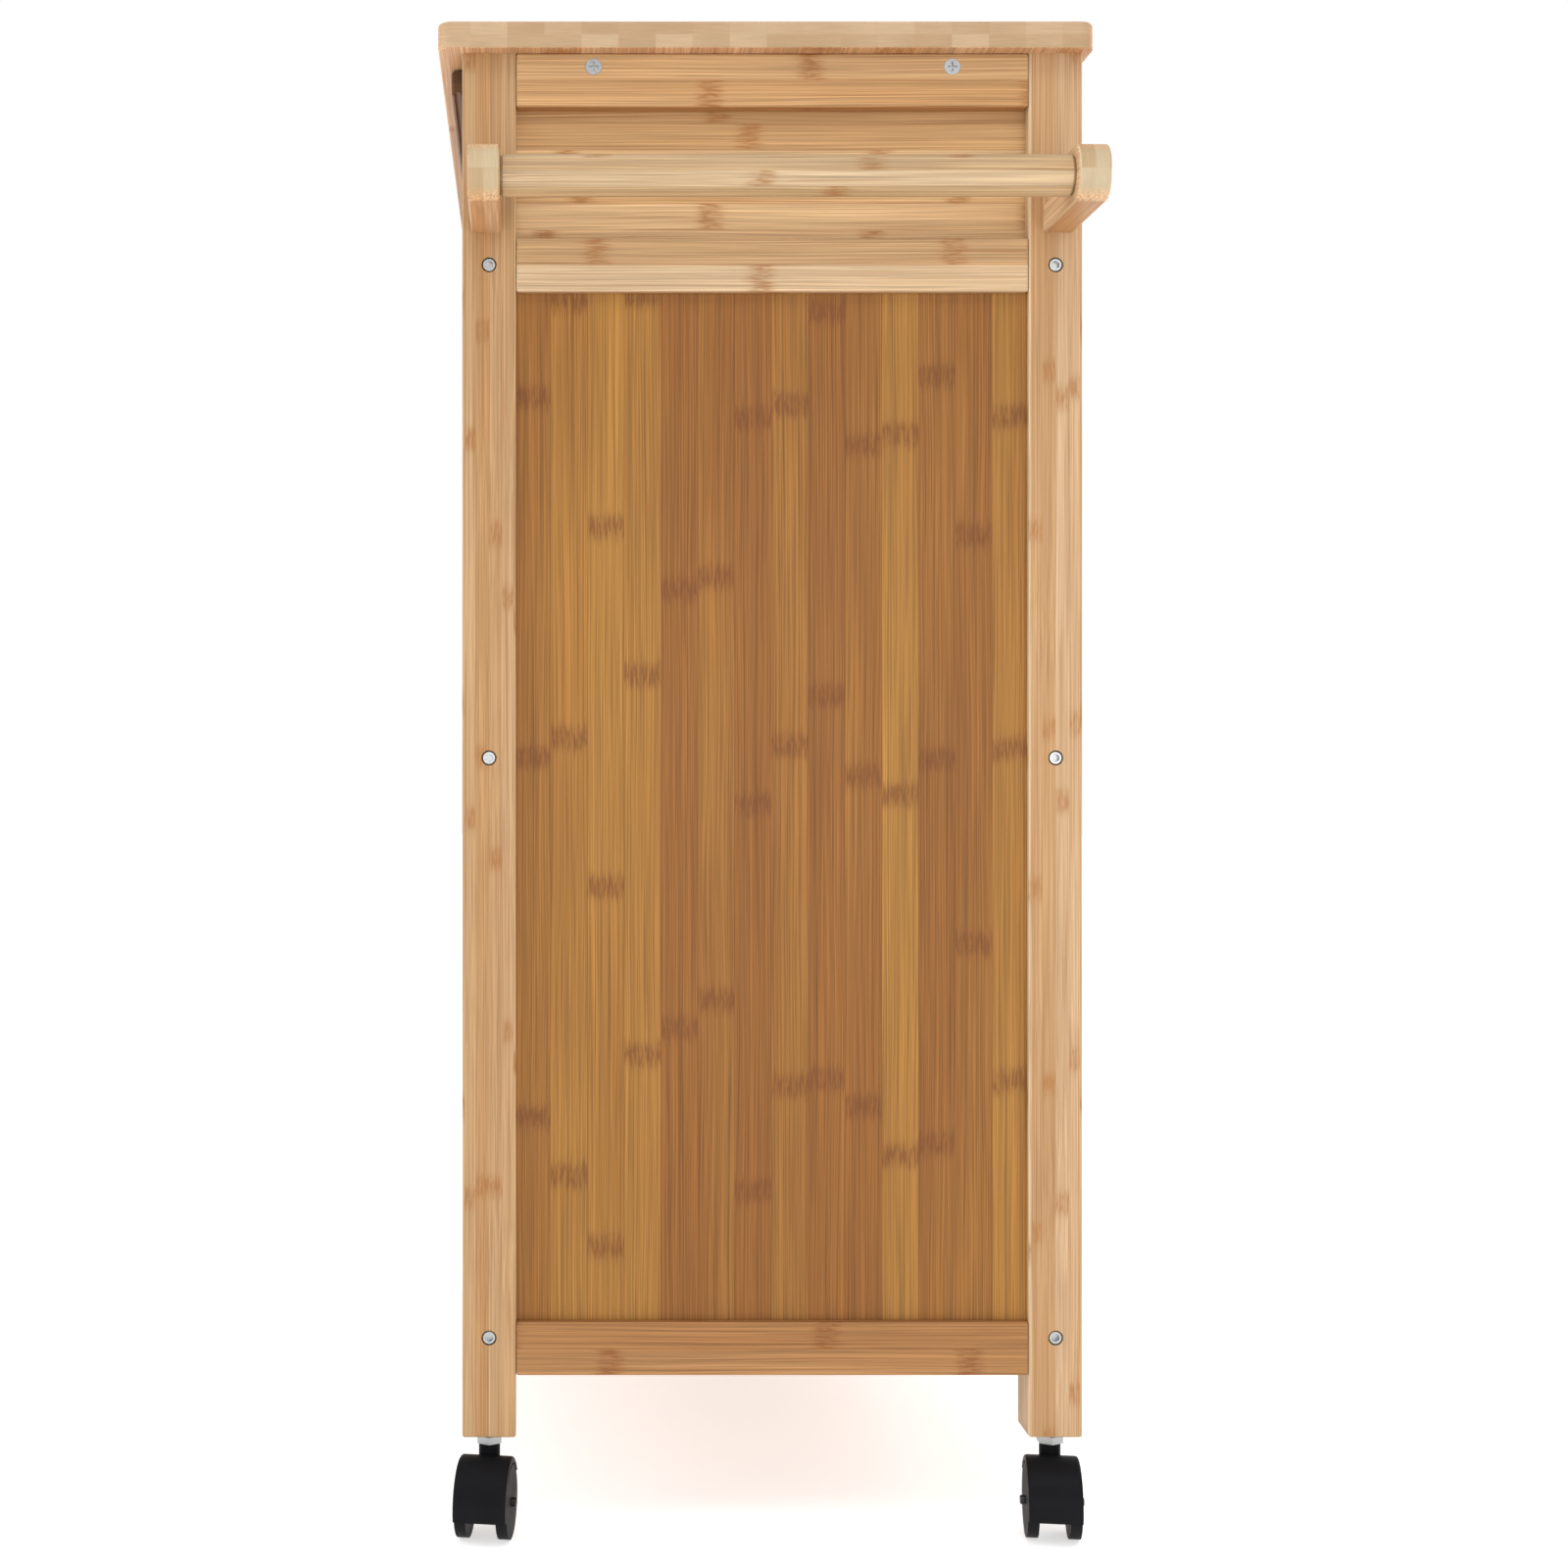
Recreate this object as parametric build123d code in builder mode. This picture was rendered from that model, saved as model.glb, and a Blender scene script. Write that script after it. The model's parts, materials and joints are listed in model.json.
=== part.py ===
from build123d import *
import math
import os

# Rolling utility cart: bamboo frame, worktop, two drawers, two shelves, towel rail, four twin-wheel casters.
# Millimetres. X runs along the cart (towel rail at +X), -Y is the drawer side, +Z is up.
# The origin is on the floor, under the middle of the whole cart.

# ---- driving dimensions ----
TOP_LENGTH = 600.0
TOP_DEPTH = 364.0
TOP_THICK = 15.0
TOP_CORNER = 8.0
HEIGHT = 843.0
RAIL_REACH = 75.0        # how far the towel rail stands out past the worktop
END_OVERHANG = 10.0      # worktop past the legs at each end
BACK_OVERHANG = 4.8      # worktop past the legs at the back
LEG = 30.0
LEG_BOTTOM = 56.0
FRAME_DEPTH = 346.0
EDGE = 1.5               # rounding of the frame's edges
SOFT_EDGE = 0.8          # rounding of thinner boards
GAP = 0.15               # glue gap round a panel or tenon

RAIL_HIGH = 30.0
SIDE_RAIL_THICK = 18.0
SIDE_RAILS = {"bottom": 90.5, "middle": 695.0, "top": 798.0}    # undersides
LONG_RAIL_THICK = 20.0
LONG_RAILS = {"base": 96.5, "shelf": 420.0, "drawer": 695.0}   # undersides
TENON_LONG = 10.0
TENON_THICK = 8.0
TENON_HIGH = 16.0
TENON_INSET = 7.5        # tenon's outer cheek behind the frame's outer face

PANEL_THICK = 6.0
PANEL_RECESS = 5.0       # caramel panel behind the frame's outer face
BOARD_RECESS = 10.0      # drawer-level side board behind the same face
GROOVE = 6.0
BACK_PANEL_THICK = 4.8

SHELF_THICK = 6.0
SHELF_REBATE = 8.0

BOLT_R = 2.5
BOLT_HEAD_R = 4.0
BOLT_HEAD_HIGH = 5.0
BOLT_LONG = 62.0         # shank under the head
NUT_R = 5.0
NUT_LONG = 14.0
NUT_IN = 28.0            # barrel nut's axis from the rail's end
BOLT_SLACK = 0.25
BOLT_HOLE_LONG = 42.0    # in the long rails
HEX_FLATS = 4.0          # hex socket in the bolt's head
HEX_DEEP = 3.0
HEAD_SUNK = 0.2          # bolt heads below the leg's face
NUT_HOLE_LONG = 17.2
FIT = 0.05               # radial clearance of pins and screws

DIVIDER_THICK = 15.0
RUNNER_FENCE = 8.0
RUNNER_SEAT = 16.0
RUNNER_THICK = 8.0
RUNNER_HIGH = 20.0
DRAWER_PLAY = 0.8
DRAWER_LIFT = 0.3
FRONT_THICK = 15.0
FRONT_GAP = 1.0
WALL_THICK = 12.0
WALL_HIGH = 74.7
DRAWER_BACK_Y = 140.0
BOTTOM_THICK = 4.0
BOTTOM_UP = 6.0          # drawer bottom above the walls' lower edge
PULL_HIGH = 13.5
PULL_PROUD = 7.0
PULL_IN = 8.0

CLEAT_WIDE = 19.6
CLEAT_HIGH = 15.0
CLEAT_LONG = 260.0
SCREW_R = 2.0
SCREW_HEAD_R = 4.5
SCREW_HEAD_HIGH = 2.6
SINK_R = 4.8             # countersink at the surface
SCREW_LONG = 36.0
SINK_ANGLE = 90
CROSS_LONG = 5.2         # cross recess in the screw's head
CROSS_WIDE = 1.1
CROSS_DEEP = 1.8
TOP_SCREW_BITE = 11.0    # how far the cleat's screws enter the worktop
CLEAT_SCREW_Y = (-95.5, 104.5)
CLEAT_SCREW_Z = 820.5
TOP_SCREW_Y = (-55.5, 64.5)

BRACKET_LONG = RAIL_REACH + END_OVERHANG
BRACKET_HIGH = 30.0
BRACKET_THICK = 17.0
BRACKET_ROUND = 12.0
TOWEL_Z = 743.0
BAR_R = 11.0
BAR_LONG = 302.0
BAR_FROM_END = 17.0
BRACKET_SCREW_R = 2.5
BRACKET_SCREW_LONG = 52.0
BRACKET_SCREW_RISE = 8.0
BRACKET_HEAD_R = 4.8
BRACKET_HEAD_HIGH = 3.0
BRACKET_HEAD_SUNK = 0.8

WHEEL_R = 20.0
WHEEL_INNER = 8.0        # wheel's inner face from the caster's middle
WHEEL_OUTER = 19.2
SHOULDER_X = 15.0        # where the tread turns into the wheel's domed side
CAP_R = 11.0
RIM_R = 16.0
HUB_R = 6.0
BORE_END = 17.8
TRAIL = 12.5
HOOD_R = 24.5
HOOD_INSIDE_R = 21.3
HOOD_WIDE = 29.6
HOOD_RIM = 1.6           # rounding of the hood's rims
HOOD_LOW = 15.0          # lower edge of the hood's closed side
HOOD_LIP = 32.0          # lower edge of its open side, under the stem
WEB_WIDE = 15.0
WEB_HUB = 8.0
NECK_R = 6.0
NECK_TOP = 49.0
NECK_ROOT = 30.0
AXLE_R = 2.5
AXLE_LONG = 35.2
STEM_R = 4.0
STEM_LOW = 34.0
COLLAR_FLATS = 13.5
COLLAR_LOW = 49.5
COLLAR_HIGH = 53.5
SHOULDER_R = 5.75
INSERT_R = 6.0
INSERT_LONG = 25.0
STEM_TOP = LEG_BOTTOM + 22.0
CASTER_TURN = {"front_right": -8.5, "back_right": -7.0, "front_left": 4.0, "back_left": -3.0}

# ---- derived places ----
TOP_X = -RAIL_REACH / 2
TOP_UNDER = HEIGHT - TOP_THICK
FRAME_LENGTH = TOP_LENGTH - 2 * END_OVERHANG
FRAME_Y = TOP_DEPTH / 2 - BACK_OVERHANG - FRAME_DEPTH / 2
BAY_LENGTH = FRAME_LENGTH - 2 * LEG
RAIL_SPAN = FRAME_DEPTH - 2 * LEG
DRAWER_FLOOR = LONG_RAILS["drawer"] + RAIL_HIGH
FRONT_FACE = FRAME_Y - FRAME_DEPTH / 2
SIDES = {"right": 1, "left": -1}
ENDS = {"front": -1, "back": 1}


def face_x(side, depth=0.0):
    """X of a plane set back by depth from the frame's outer face on one side."""
    return TOP_X + side * (FRAME_LENGTH / 2 - depth)


def leg_y(end):
    """Y of the leg centres at the front (-1) or back (1)."""
    return FRAME_Y + end * (FRAME_DEPTH - LEG) / 2


def outward(side, y, z, depth=0.0):
    """Plane on the frame's side, facing out, for holes and bolts that run in from it."""
    return Plane(origin=(face_x(side, depth), y, z), x_dir=(0, side, 0), z_dir=(side, 0, 0))


def save(piece, label):
    """Label a finished piece and write its file."""
    piece.part.label = label
    export_step(piece.part, f"parts/{label}.step")


os.makedirs("parts", exist_ok=True)

BOLT_HEIGHTS = [low + RAIL_HIGH / 2 for low in LONG_RAILS.values()]
NUT_X = LEG + NUT_IN
CLEAT_X = SIDE_RAIL_THICK + 0.2 + CLEAT_WIDE / 2

# ---- worktop ----
with BuildPart() as worktop:
    with BuildSketch(Plane.XY.offset(TOP_UNDER)):
        with Locations((TOP_X, 0)):
            RectangleRounded(TOP_LENGTH, TOP_DEPTH, TOP_CORNER)
    extrude(amount=TOP_THICK)
    fillet(worktop.faces().sort_by(Axis.Z)[-1].edges(), 2.0)
    fillet(worktop.faces().sort_by(Axis.Z)[0].edges(), 1.0)
    for side in SIDES.values():
        for y in TOP_SCREW_Y:
            with Locations(Plane(origin=(face_x(side, CLEAT_X), y, TOP_UNDER), z_dir=(0, 0, -1))):
                Hole(SCREW_R + FIT, depth=TOP_SCREW_BITE + 0.5)
save(worktop, "worktop")

# ---- legs ----
for side_name, side in SIDES.items():
    for end_name, end in ENDS.items():
        x = face_x(side, LEG / 2)
        y = leg_y(end)
        inner_y = y - end * LEG / 2
        with BuildPart() as leg:
            with BuildSketch(Plane.XY.offset(LEG_BOTTOM)):
                with Locations((x, y)):
                    RectangleRounded(LEG, LEG, EDGE)
            extrude(amount=TOP_UNDER - LEG_BOTTOM)
            chamfer(leg.faces().sort_by(Axis.Z)[0].edges(), 0.8)
            for low in SIDE_RAILS.values():
                with Locations((face_x(side, TENON_INSET + TENON_THICK / 2), inner_y, low + RAIL_HIGH / 2)):
                    Box(TENON_THICK + 2 * GAP, 2 * TENON_LONG + 2 * GAP, TENON_HIGH + 2 * GAP,
                        mode=Mode.SUBTRACT)
            panel_low = SIDE_RAILS["bottom"] + RAIL_HIGH - GROOVE
            panel_high = SIDE_RAILS["middle"] + GROOVE
            board_low = SIDE_RAILS["middle"] + RAIL_HIGH - GROOVE
            board_high = SIDE_RAILS["top"] + GROOVE
            for recess, low, high in ((PANEL_RECESS, panel_low, panel_high),
                                      (BOARD_RECESS, board_low, board_high)):
                with Locations((face_x(side, recess + PANEL_THICK / 2), inner_y, (low + high) / 2)):
                    Box(PANEL_THICK + 2 * GAP, 2 * GROOVE, high - low, mode=Mode.SUBTRACT)
            for z in BOLT_HEIGHTS:
                with Locations(outward(side, y, z)):
                    CounterBoreHole(BOLT_R + BOLT_SLACK, BOLT_HEAD_R + HEAD_SUNK,
                                    BOLT_HEAD_HIGH + 2 * HEAD_SUNK, depth=LEG)
            if side == 1:
                bracket_y = FRAME_Y + end * (BAR_LONG + BRACKET_THICK) / 2
                for rise in (-BRACKET_SCREW_RISE, BRACKET_SCREW_RISE):
                    inward = Plane(origin=(face_x(side, LEG), bracket_y, TOWEL_Z + rise), z_dir=(-1, 0, 0))
                    with Locations(inward):
                        CounterBoreHole(BRACKET_SCREW_R + FIT, BRACKET_HEAD_R + 0.2,
                                        BRACKET_HEAD_HIGH + 1.0, depth=LEG)
            with Locations(Plane(origin=(x, y, LEG_BOTTOM), z_dir=(0, 0, -1))):
                Hole(INSERT_R + FIT, depth=INSERT_LONG + 0.5)
        save(leg, f"leg_{end_name}_{side_name}")

# ---- side rails, tenoned into the legs and grooved for the panels ----
for side_name, side in SIDES.items():
    for rail_name, low in SIDE_RAILS.items():
        rail_z = low + RAIL_HIGH / 2
        with BuildPart() as side_rail:
            with Locations((face_x(side, SIDE_RAIL_THICK / 2), FRAME_Y, rail_z)):
                Box(SIDE_RAIL_THICK, RAIL_SPAN - 0.1, RAIL_HIGH)
            fillet(side_rail.edges(), EDGE)
            with Locations((face_x(side, TENON_INSET + TENON_THICK / 2), FRAME_Y, rail_z)):
                Box(TENON_THICK, RAIL_SPAN + 2 * TENON_LONG - 0.2, TENON_HIGH)
            grooves = []
            if rail_name == "bottom":
                grooves.append((PANEL_RECESS, low + RAIL_HIGH))
            if rail_name == "middle":
                grooves.append((PANEL_RECESS, low))
                grooves.append((BOARD_RECESS, low + RAIL_HIGH))
            if rail_name == "top":
                grooves.append((BOARD_RECESS, low))
            for recess, z in grooves:
                with Locations((face_x(side, recess + PANEL_THICK / 2), FRAME_Y, z)):
                    Box(PANEL_THICK + 2 * GAP, RAIL_SPAN + 10, 2 * GROOVE, mode=Mode.SUBTRACT)
            if rail_name == "top":
                for y in CLEAT_SCREW_Y:
                    with Locations(outward(side, y, CLEAT_SCREW_Z)):
                        CounterSinkHole(SCREW_R + FIT, SINK_R, depth=SIDE_RAIL_THICK,
                                        counter_sink_angle=SINK_ANGLE)
        save(side_rail, f"side_rail_{rail_name}_{side_name}")

# ---- side panels and drawer-level side boards, loose in their grooves ----
for side_name, side in SIDES.items():
    with BuildPart() as side_panel:
        with Locations((face_x(side, PANEL_RECESS + PANEL_THICK / 2), FRAME_Y, (panel_low + panel_high) / 2)):
            Box(PANEL_THICK, RAIL_SPAN + 2 * GROOVE - 0.4, panel_high - panel_low - 0.4)
    save(side_panel, f"side_panel_{side_name}")

    with BuildPart() as side_board:
        with Locations((face_x(side, BOARD_RECESS + PANEL_THICK / 2), FRAME_Y, (board_low + board_high) / 2)):
            Box(PANEL_THICK, RAIL_SPAN + 2 * GROOVE - 0.4, board_high - board_low - 0.4)
    save(side_board, f"side_board_{side_name}")

# ---- long rails, bolted between the legs ----
for end_name, end in ENDS.items():
    for rail_name, low in LONG_RAILS.items():
        rail_z = low + RAIL_HIGH / 2
        rail_inner_y = leg_y(end) - end * LONG_RAIL_THICK / 2
        with BuildPart() as long_rail:
            with Locations((TOP_X, leg_y(end), rail_z)):
                Box(BAY_LENGTH - 0.1, LONG_RAIL_THICK, RAIL_HIGH)
            fillet(long_rail.edges(), EDGE)
            if rail_name != "drawer":
                with Locations((TOP_X, rail_inner_y, low + RAIL_HIGH)):
                    Box(BAY_LENGTH, 2 * SHELF_REBATE, 2 * SHELF_THICK, mode=Mode.SUBTRACT)
            for side in SIDES.values():
                with Locations(outward(side, leg_y(end), rail_z, LEG)):
                    Hole(BOLT_R + BOLT_SLACK, depth=BOLT_HOLE_LONG)
                nut_plane = Plane(origin=(face_x(side, NUT_X), rail_inner_y, rail_z), z_dir=(0, -end, 0))
                with Locations(nut_plane):
                    Hole(NUT_R + FIT, depth=NUT_HOLE_LONG)
        save(long_rail, f"{end_name}_{rail_name}_rail")

# ---- shelves, dropped into the long rails' rebates and notched round the legs ----
SHELF_LENGTH = FRAME_LENGTH - 2 * (PANEL_RECESS + PANEL_THICK) - 0.4
SHELF_DEPTH = FRAME_DEPTH - LEG - LONG_RAIL_THICK + 2 * SHELF_REBATE - 0.4
for rail_name, shelf_name in (("base", "bottom_shelf"), ("shelf", "middle_shelf")):
    shelf_z = LONG_RAILS[rail_name] + RAIL_HIGH - SHELF_THICK
    with BuildPart() as shelf:
        with BuildSketch(Plane.XY.offset(shelf_z)):
            with Locations((TOP_X, FRAME_Y)):
                Rectangle(SHELF_LENGTH, SHELF_DEPTH)
            with Locations((TOP_X, FRAME_Y)):
                with GridLocations(FRAME_LENGTH - LEG, FRAME_DEPTH - LEG, 2, 2):
                    Rectangle(LEG + 0.6, LEG + 0.6, mode=Mode.SUBTRACT)
        extrude(amount=SHELF_THICK)
    save(shelf, shelf_name)

# ---- back panel, flush between the back legs ----
PANEL_FOOT = LONG_RAILS["base"]
with BuildPart() as back_panel:
    back_face = FRAME_Y + FRAME_DEPTH / 2
    with Locations((TOP_X, back_face - BACK_PANEL_THICK / 2 - 0.1, (PANEL_FOOT + TOP_UNDER) / 2)):
        Box(BAY_LENGTH - 0.4, BACK_PANEL_THICK, TOP_UNDER - PANEL_FOOT - 0.2)
    fillet(back_panel.edges(), SOFT_EDGE)
save(back_panel, "back_panel")

# ---- cleats that hold the worktop, inside the top side rails ----
with BuildPart() as worktop_cleats:
    for side in SIDES.values():
        with Locations((face_x(side, CLEAT_X), FRAME_Y, TOP_UNDER - 0.1 - CLEAT_HIGH / 2)):
            Box(CLEAT_WIDE, CLEAT_LONG, CLEAT_HIGH)
    fillet(worktop_cleats.edges(), SOFT_EDGE)
    for side in SIDES.values():
        for y in CLEAT_SCREW_Y:
            with Locations(outward(side, y, CLEAT_SCREW_Z, SIDE_RAIL_THICK)):
                Hole(SCREW_R + FIT, depth=CLEAT_WIDE)
        for y in TOP_SCREW_Y:
            under = Plane(origin=(face_x(side, CLEAT_X), y, TOP_UNDER - CLEAT_HIGH - 0.1), z_dir=(0, 0, -1))
            with Locations(under):
                CounterSinkHole(SCREW_R + FIT, SINK_R, depth=CLEAT_HIGH, counter_sink_angle=SINK_ANGLE)
save(worktop_cleats, "worktop_cleats")

# ---- drawer divider and the L-shaped runners ----
with BuildPart() as drawer_divider:
    divider_front = FRONT_FACE + 0.2
    divider_back = FRAME_Y + FRAME_DEPTH / 2 - BACK_PANEL_THICK - 0.3
    with Locations((TOP_X, (divider_front + divider_back) / 2, (DRAWER_FLOOR + TOP_UNDER) / 2)):
        Box(DIVIDER_THICK, divider_back - divider_front, TOP_UNDER - DRAWER_FLOOR - 0.2)
    fillet(drawer_divider.edges(), SOFT_EDGE)
save(drawer_divider, "drawer_divider")

BAY_WIDE = (BAY_LENGTH - DIVIDER_THICK) / 2
BAY_X = {"right": TOP_X + (DIVIDER_THICK + BAY_WIDE) / 2, "left": TOP_X - (DIVIDER_THICK + BAY_WIDE) / 2}
RUNNER_FRONT = FRONT_FACE + FRONT_THICK + 1.0

with BuildPart() as drawer_runners:
    wall = BAY_WIDE / 2 - 0.2
    step = wall - RUNNER_FENCE
    lip = step - RUNNER_SEAT
    for bay_x in BAY_X.values():
        for edge in (-1, 1):
            with BuildSketch(Plane(origin=(bay_x, RUNNER_FRONT, DRAWER_FLOOR), x_dir=(edge, 0, 0),
                                   z_dir=(0, -edge, 0))):
                with BuildLine():
                    Polyline((wall, 0), (wall, RUNNER_HIGH), (step, RUNNER_HIGH),
                             (step, RUNNER_THICK), (lip, RUNNER_THICK), (lip, 0), close=True)
                make_face()
            extrude(amount=-edge * (divider_back - RUNNER_FRONT))
    chamfer(drawer_runners.edges().filter_by(Axis.Y).group_by(Axis.Z)[-1], SOFT_EDGE)
save(drawer_runners, "drawer_runners")

# ---- drawers: front, pull, walls (two sides and a back) and bottom ----
FRONT_WIDE = BAY_WIDE - 2 * FRONT_GAP
BOX_WIDE = BAY_WIDE - 2 * (0.2 + RUNNER_FENCE + DRAWER_PLAY)
WALL_LOW = DRAWER_FLOOR + RUNNER_THICK + DRAWER_LIFT
WALL_TOP = WALL_LOW + WALL_HIGH
BOTTOM_LOW = WALL_LOW + BOTTOM_UP
FRONT_LOW = DRAWER_FLOOR + 1.5
FRONT_TOP = TOP_UNDER - 1.5
FRONT_BACK = FRONT_FACE + FRONT_THICK
PULL_LOW = FRONT_TOP - PULL_HIGH
WALL_GROOVE = 5.0
BOTTOM_PLAY = 0.2
BACK_DROP = 4.0          # drawer's back below its sides
FINGER_R = 2.0           # groove under the pull

for bay_name, bay_x in BAY_X.items():
    with BuildPart() as drawer_front:
        with Locations((bay_x, FRONT_FACE + FRONT_THICK / 2, (FRONT_LOW + FRONT_TOP) / 2)):
            Box(FRONT_WIDE, FRONT_THICK, FRONT_TOP - FRONT_LOW)
        fillet(drawer_front.faces().sort_by(Axis.Y)[0].edges(), EDGE)
        with Locations((bay_x, FRONT_FACE, FRONT_TOP)):
            Box(FRONT_WIDE, 2 * PULL_IN, 2 * PULL_HIGH, mode=Mode.SUBTRACT)
        with Locations((bay_x, FRONT_BACK, BOTTOM_LOW + BOTTOM_THICK / 2)):
            Box(BOX_WIDE - 2 * WALL_THICK + 2 * WALL_GROOVE, 2 * WALL_GROOVE, BOTTOM_THICK + 2 * GAP,
                mode=Mode.SUBTRACT)
    save(drawer_front, f"drawer_front_{bay_name}")

    with BuildPart() as drawer_pull:
        with Locations((bay_x, FRONT_FACE + (PULL_IN - PULL_PROUD) / 2, PULL_LOW + PULL_HIGH / 2)):
            Box(FRONT_WIDE, PULL_IN + PULL_PROUD, PULL_HIGH)
        fillet(drawer_pull.faces().sort_by(Axis.Y)[0].edges(), EDGE)
        groove_line = Plane(origin=(bay_x, FRONT_FACE - PULL_PROUD / 2, PULL_LOW), z_dir=(1, 0, 0))
        with BuildSketch(groove_line):
            Circle(FINGER_R)
        extrude(amount=FRONT_WIDE, both=True, mode=Mode.SUBTRACT)
    save(drawer_pull, f"drawer_pull_{bay_name}")

    with BuildPart() as drawer_walls:
        wall_long = DRAWER_BACK_Y - FRONT_BACK
        for edge in (-1, 1):
            with Locations((bay_x + edge * (BOX_WIDE - WALL_THICK) / 2, FRONT_BACK + wall_long / 2,
                            WALL_LOW + WALL_HIGH / 2)):
                Box(WALL_THICK, wall_long, WALL_HIGH)
        fillet(drawer_walls.edges().filter_by(Axis.Y).group_by(Axis.Z)[-1], 2.0)
        with Locations((bay_x, (FRONT_BACK + DRAWER_BACK_Y) / 2, BOTTOM_LOW + BOTTOM_THICK / 2)):
            Box(BOX_WIDE - 2 * WALL_THICK + 2 * WALL_GROOVE, wall_long, BOTTOM_THICK + 2 * GAP,
                mode=Mode.SUBTRACT)
        back_low = BOTTOM_LOW + BOTTOM_THICK + 2 * GAP
        back_high = WALL_TOP - BACK_DROP
        with Locations((bay_x, DRAWER_BACK_Y - WALL_THICK / 2 - 1.0, (back_low + back_high) / 2)):
            Box(BOX_WIDE - 2 * WALL_THICK - 0.2, WALL_THICK, back_high - back_low)
    save(drawer_walls, f"drawer_walls_{bay_name}")

    with BuildPart() as drawer_bottom:
        tray_front = FRONT_BACK - WALL_GROOVE + BOTTOM_PLAY
        with Locations((bay_x, (tray_front + DRAWER_BACK_Y) / 2, BOTTOM_LOW + BOTTOM_THICK / 2)):
            Box(BOX_WIDE - 2 * WALL_THICK + 2 * (WALL_GROOVE - BOTTOM_PLAY), DRAWER_BACK_Y - tray_front,
                BOTTOM_THICK)
    save(drawer_bottom, f"drawer_bottom_{bay_name}")

# ---- towel rail: two brackets screwed to the legs and a round bar between them ----
BAR_X = face_x(1) + BRACKET_LONG - BAR_FROM_END
BRACKET_Y = {name: FRAME_Y + end * (BAR_LONG + BRACKET_THICK) / 2 for name, end in ENDS.items()}

for end_name, end in ENDS.items():
    y = BRACKET_Y[end_name]
    with BuildPart() as towel_bracket:
        with BuildSketch(Plane(origin=(face_x(1), y, TOWEL_Z), z_dir=(0, -1, 0), x_dir=(1, 0, 0))):
            with Locations((BRACKET_LONG / 2, 0)):
                Rectangle(BRACKET_LONG, BRACKET_HIGH)
        extrude(amount=BRACKET_THICK / 2, both=True)
        fillet(towel_bracket.edges().filter_by(Axis.Y).group_by(Axis.X)[-1], BRACKET_ROUND)
        outline = towel_bracket.edges().group_by(Axis.Y)
        root = towel_bracket.faces().sort_by(Axis.X)[0].edges()
        fillet([edge for edge in outline[0] + outline[-1] if edge not in root], EDGE)
        for rise in (-BRACKET_SCREW_RISE, BRACKET_SCREW_RISE):
            with Locations(Plane(origin=(face_x(1), y, TOWEL_Z + rise), z_dir=(-1, 0, 0))):
                Hole(BRACKET_SCREW_R + FIT, depth=BRACKET_SCREW_LONG - LEG + 5.0)
        with Locations(Plane(origin=(BAR_X, y + end * BRACKET_THICK / 2, TOWEL_Z), z_dir=(0, end, 0))):
            CounterSinkHole(SCREW_R + FIT, SINK_R, depth=BRACKET_THICK, counter_sink_angle=SINK_ANGLE)
    save(towel_bracket, f"towel_bracket_{end_name}")

with BuildPart() as towel_bar:
    with BuildSketch(Plane(origin=(BAR_X, FRAME_Y, TOWEL_Z), z_dir=(0, 1, 0))):
        Circle(BAR_R)
    extrude(amount=BAR_LONG / 2 - 0.05, both=True)
    chamfer(towel_bar.edges(), 1.5)
    for end in ENDS.values():
        with Locations(Plane(origin=(BAR_X, FRAME_Y + end * BAR_LONG / 2, TOWEL_Z), z_dir=(0, end, 0))):
            Hole(SCREW_R + FIT, depth=SCREW_LONG - BRACKET_THICK + 2.0)
save(towel_bar, "towel_bar")

# ---- frame bolts: hex-socket heads sunk in the legs, shanks into barrel nuts in the long rails ----
with BuildPart() as frame_bolts:
    for side in SIDES.values():
        for end in ENDS.values():
            for z in BOLT_HEIGHTS:
                seat = outward(side, leg_y(end), z, BOLT_HEAD_HIGH + HEAD_SUNK)
                with BuildSketch(seat):
                    Circle(BOLT_HEAD_R)
                extrude(amount=BOLT_HEAD_HIGH)
                with BuildSketch(seat):
                    Circle(BOLT_R)
                extrude(amount=-BOLT_LONG)
                with BuildSketch(outward(side, leg_y(end), z, HEAD_SUNK)):
                    RegularPolygon(HEX_FLATS / math.sqrt(3), 6)
                extrude(amount=-HEX_DEEP, mode=Mode.SUBTRACT)
save(frame_bolts, "frame_bolts")

with BuildPart() as barrel_nuts:
    for side in SIDES.values():
        for end in ENDS.values():
            for z in BOLT_HEIGHTS:
                nut_centre = (face_x(side, NUT_X), leg_y(end), z)
                with BuildSketch(Plane(origin=nut_centre, z_dir=(0, 1, 0))):
                    Circle(NUT_R)
                extrude(amount=NUT_LONG / 2, both=True)
                with BuildSketch(Plane(origin=nut_centre, z_dir=(1, 0, 0))):
                    Circle(BOLT_R + FIT)
                extrude(amount=2 * NUT_R, both=True, mode=Mode.SUBTRACT)
save(barrel_nuts, "barrel_nuts")


def countersunk_screw(length):
    """Cross-recessed countersunk screw, its head flush with Z = 0 and its shank down."""
    with BuildPart() as screw:
        with BuildSketch(Plane.XZ):
            with BuildLine():
                Polyline((0, 0), (SCREW_HEAD_R, 0), (SCREW_R, -SCREW_HEAD_HIGH), (SCREW_R, 2 - length),
                         (0, -length), close=True)
            make_face()
        revolve(axis=Axis.Z)
        with BuildSketch(Plane.XY):
            Rectangle(CROSS_LONG, CROSS_WIDE)
            Rectangle(CROSS_WIDE, CROSS_LONG)
        extrude(amount=-CROSS_DEEP, mode=Mode.SUBTRACT)
    return screw.part


# ---- screws: top side rail to cleat, and cleat to worktop ----
long_screw = countersunk_screw(SCREW_LONG)
top_screw = countersunk_screw(CLEAT_HIGH + TOP_SCREW_BITE)

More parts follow.
